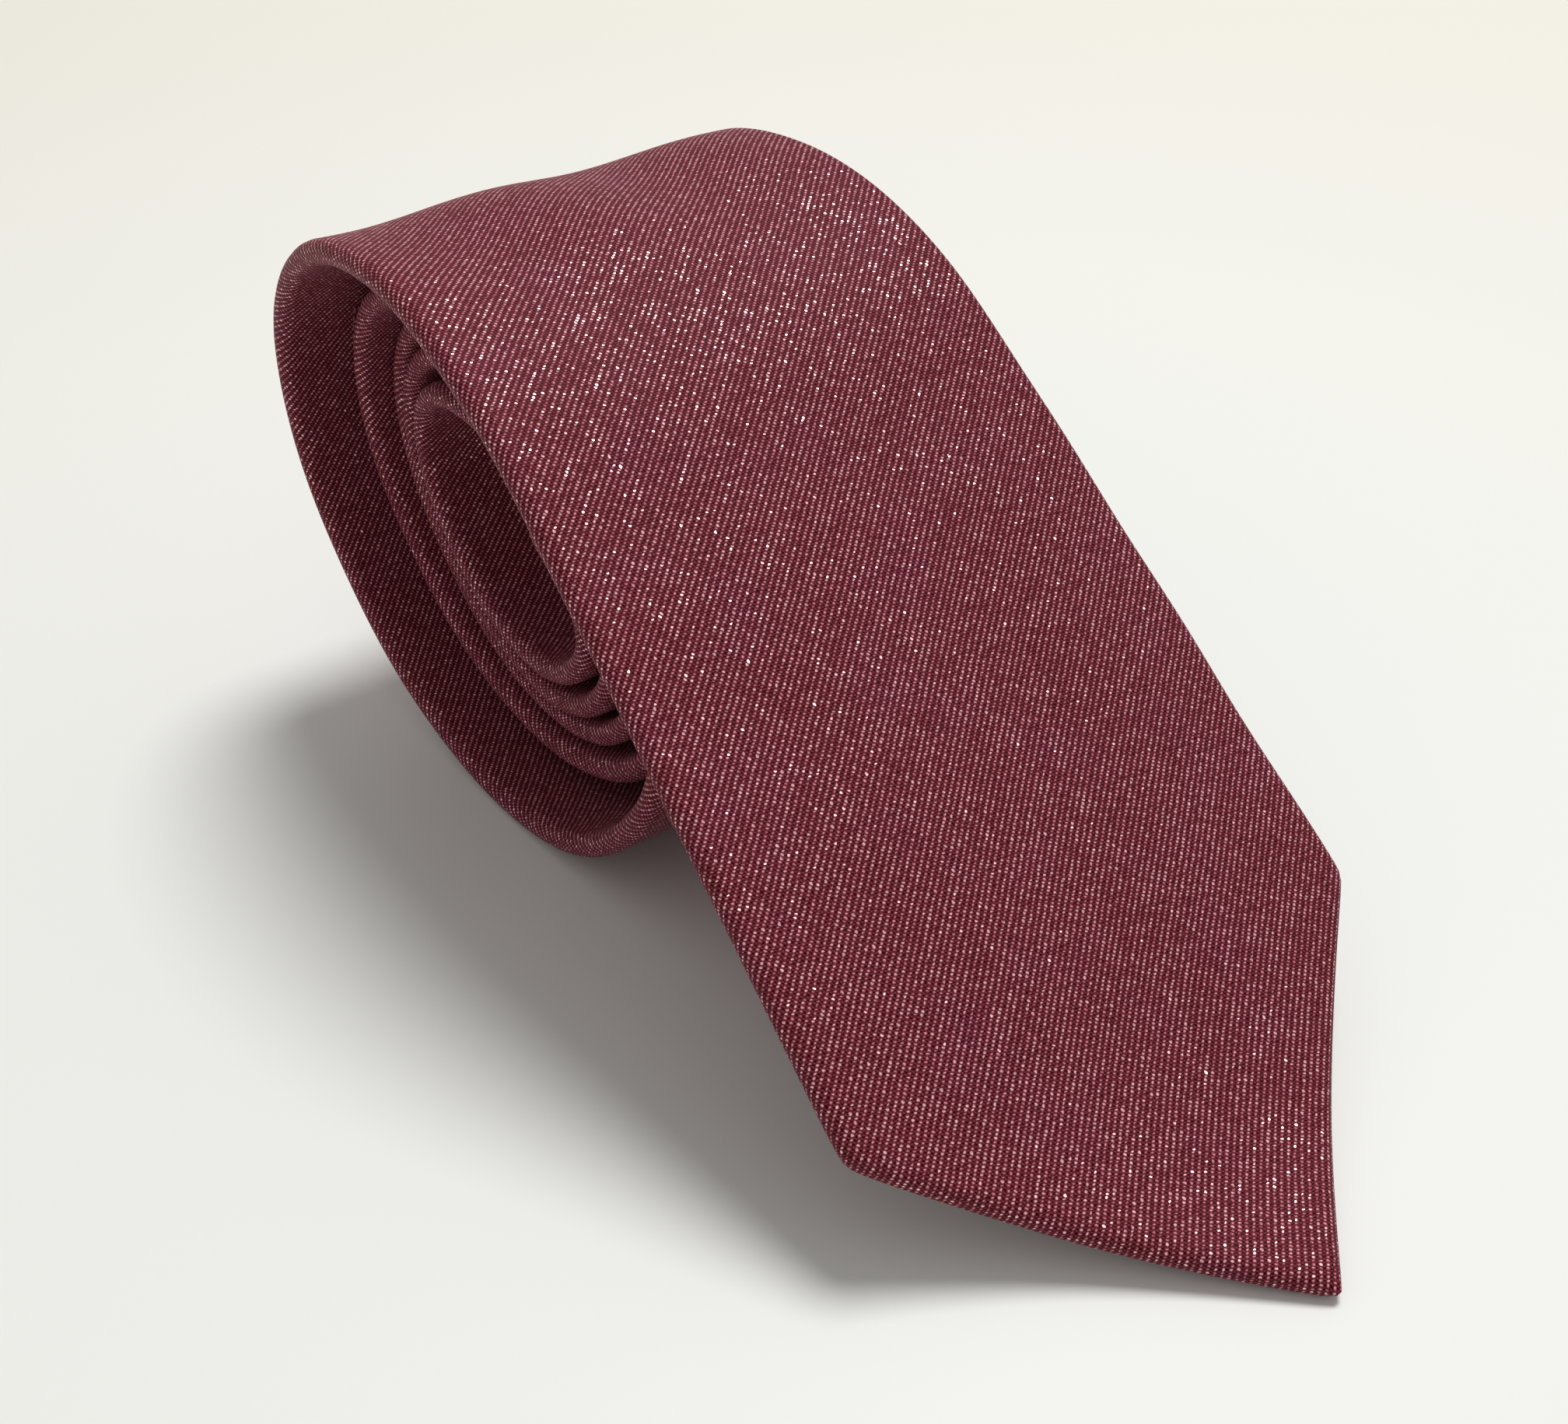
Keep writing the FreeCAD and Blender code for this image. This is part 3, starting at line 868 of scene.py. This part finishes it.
# %% Hem stitches at both points
thread_radius = 0.16 * MM
stitch_pitch, stitch_slant = 3.6 * MM, 1.1 * MM
into_lining, into_hem = 0.8 * MM, 0.55 * MM
on_lining = tipping_depth + 0.35 * MM


def hem_stitches(places, direction):
    """Slanted stitches from the lining over the hem, along both edges of a point."""
    pairs = []
    for place in places:
        for side in (-1, 1):
            edge = half_width(place) - hem
            low = (place, side * (edge - into_lining), on_lining)
            high = (place + direction * stitch_slant, side * (edge + into_hem), tie_thickness)
            pairs.append((low, high))
    return pairs


blade_places = np.arange(2 * hem, blade_corner, stitch_pitch)
tail_places = tie_length - np.arange(2 * hem, tail_width / 2, stitch_pitch)
sew("blade_hem_thread", hem_stitches(blade_places, 1), thread_radius, curl_bend,
    "blade_tipping_stitches")
sew("tail_hem_thread", hem_stitches(tail_places, -1), thread_radius, "roll",
    "tail_tipping_stitches")

# %% Slip stitch
slip_start, slip_cut, slip_room = blade_open_length + 3 * MM, 150 * MM, 4 * MM
rung_pitch, rung_half, rung_slant = 5 * MM, 1.1 * MM, 0.7 * MM
rung_depth = tie_thickness - 0.12 * MM


def rungs(start, end):
    """Short slanted stitches across the centre seam."""
    return [((place, -rung_half, rung_depth), (place + rung_slant, rung_half, rung_depth))
            for place in np.arange(start, end, rung_pitch)]


tail_open = tie_length - tail_open_length
sew("slip_thread_crest", rungs(slip_start, slip_cut), thread_radius, lift_bend, "slip_stitch_flap")
sew("slip_thread_wrapped", rungs(slip_cut, tail_open - slip_room), thread_radius, "roll",
    "slip_stitch_rolled")

# %% Bar tacks
tack_radius = 0.2 * MM
tack_half, tack_depth = 4 * MM, tie_thickness + 0.12 * MM
wraps, wrapped_share = 15, 0.85
core_shifts = (0.3 * MM, 0.7 * MM, 1.1 * MM)
wrap_start, wrap_end, wrap_lean = -0.1 * MM, 1.5 * MM, 0.1 * MM
wrap_depth = tack_depth + 0.08 * MM
blade_tack, tail_tack = blade_open_length + 1.4 * MM, tail_open - 2.8 * MM


def bar_tack(place):
    """Three long threads across the seam, and a close row wrapped over them."""
    cores = [((place + shift, -tack_half, tack_depth), (place + shift, tack_half, tack_depth))
             for shift in core_shifts]
    over = [((place + wrap_start, x, wrap_depth), (place + wrap_end, x + wrap_lean, wrap_depth))
            for x in np.linspace(-tack_half * wrapped_share, tack_half * wrapped_share, wraps)]
    return cores + over


sew("blade_tack_thread", bar_tack(blade_tack), tack_radius, "flap", "blade_bar_tack")
sew("tail_tack_thread", bar_tack(tail_tack), tack_radius, "roll", "tail_bar_tack")


# %% Stitches that hold the loop and the label
stitch_share = 0.75
side_depth = on_back + 0.1 * MM
loop_offset = 23.5 * MM
corner_length, corner_offset = 1.8 * MM, 22.5 * MM


def side_stitches(start, length, offset, count):
    """Short stitches in a row beside a piece, on both sides of it."""
    first = np.linspace(start, start + length, count, endpoint=False)
    span = length / count * stitch_share
    return [((place, side * offset, side_depth), (place + span, side * offset, side_depth))
            for place in first for side in (-1, 1)]


sew("keeper_thread", side_stitches(loop_place, loop_length, loop_offset, 6), tack_radius, "roll",
    "keeper_loop_tacks")
corner_places = (maker_place, maker_place + maker_length - corner_length)
corner_stitches = [pair for place in corner_places
                   for pair in side_stitches(place, corner_length, corner_offset, 2)]
sew("maker_thread", corner_stitches, thread_radius, "roll", "maker_label_stitches")

# %% [markdown]
# ## Table, light and camera
# The tie lies on a pale board under one wide soft lamp, high up on its right, and the pale room
# fills in the rest. The board is whitest round the tie and is painted darker and warmer further
# out, a painted fall-off of the light. The lamp stands where the cloth just under the crest mirrors
# it, which lights the flecks there. The colours are plain display colours, so the view is the
# Standard one.

# %% The board
# painted shade: the board's colour turns darker and warmer away from the tie
board_size, painted_falloff = 6.0, 3.4
near_board, far_board_shaded = (0.885, 0.90, 0.87, 1), (0.84, 0.815, 0.73, 1)


def flat_panel(name, size):
    """A square sheet at the height of the table."""
    panel = bpy.data.objects.new(name, bpy.data.meshes.new(name))
    bpy.context.scene.collection.objects.link(panel)
    bm = bmesh.new()
    bmesh.ops.create_grid(bm, x_segments=1, y_segments=1, size=size / 2)
    bm.to_mesh(panel.data)
    bm.free()
    return panel


def board_finish():
    """Pale, with a fine grain, and painted shade that darkens and warms it away from the tie."""
    material, shader, wire = start_finish("pale_board", "", 0.55, 0.0, (1, 1, 1))
    spot = wire.node("ShaderNodeTexCoord", None, None, "Object")
    distance = wire.node("ShaderNodeVectorMath", {"operation": "LENGTH"}, {0: spot}, "Value")
    # painted shade, growing with the distance from the tie
    painted_falloff_share = 1 - wire.math("EXPONENT", (distance * painted_falloff) ** 2 * -1.0)
    wire.plug(wire.mix(painted_falloff_share, near_board, far_board_shaded), shader.inputs["Base Color"])
    add_relief(wire, shader, 0.15, 0.1 * MM, wire.noise(spot, 900.0, 2.0))
    return material


floor = flat_panel("board", board_size)
floor.data.materials.append(board_finish())
print("board", board_size, "m wide")


# %% The lamp and the room
def soft_light(name, direction, distance, size, power):
    """A round lamp that faces the tie from a direction and a distance."""
    light = bpy.data.lights.new(name, "AREA")
    light.shape = "DISK"
    light.size = size
    light.energy = power
    lamp = bpy.data.objects.new(name, light)
    bpy.context.scene.collection.objects.link(lamp)
    direction = Vector(direction).normalized()
    lamp.location = direction * distance
    lamp.rotation_euler = direction.to_track_quat("Z", "Y").to_euler()


lamp_direction, lamp_distance, lamp_size, lamp_power = (0.31, 0.17, 0.935), 2.0, 0.8, 27.0
room_colour, room_strength = (1, 0.99, 0.975, 1), 0.40
soft_light("lamp", lamp_direction, lamp_distance, lamp_size, lamp_power)
world = bpy.data.worlds.new("room")
world.use_nodes = True
background = world.node_tree.nodes["Background"]
background.inputs["Color"].default_value = room_colour
background.inputs["Strength"].default_value = room_strength
bpy.context.scene.world = world
bpy.context.scene.view_settings.view_transform = "Standard"
print("lamp", lamp_power, "W at", lamp_distance, "m; room", room_strength)

# %% The camera
camera_azimuth, camera_rise, camera_distance = -36.66, 36.43, 0.2595
camera_aim = Vector((-0.01457, on_path(0, 0, 0).y + 0.08874, 0.03953))
azimuth, rise = math.radians(camera_azimuth), math.radians(camera_rise)
back = Vector((math.sin(azimuth) * math.cos(rise), -math.cos(azimuth) * math.cos(rise),
               math.sin(rise)))
lens = bpy.data.cameras.new("camera")
lens.lens = 45.75
lens.sensor_width = 36.0
lens.clip_start = 0.01
camera = bpy.data.objects.new("camera", lens)
bpy.context.scene.collection.objects.link(camera)
camera.location = camera_aim + camera_distance * back
camera.rotation_euler = (-back).to_track_quat("-Z", "Y").to_euler()
bpy.context.scene.camera = camera
print("camera", camera_azimuth, "degrees round and", camera_rise, "degrees up, lens", lens.lens)
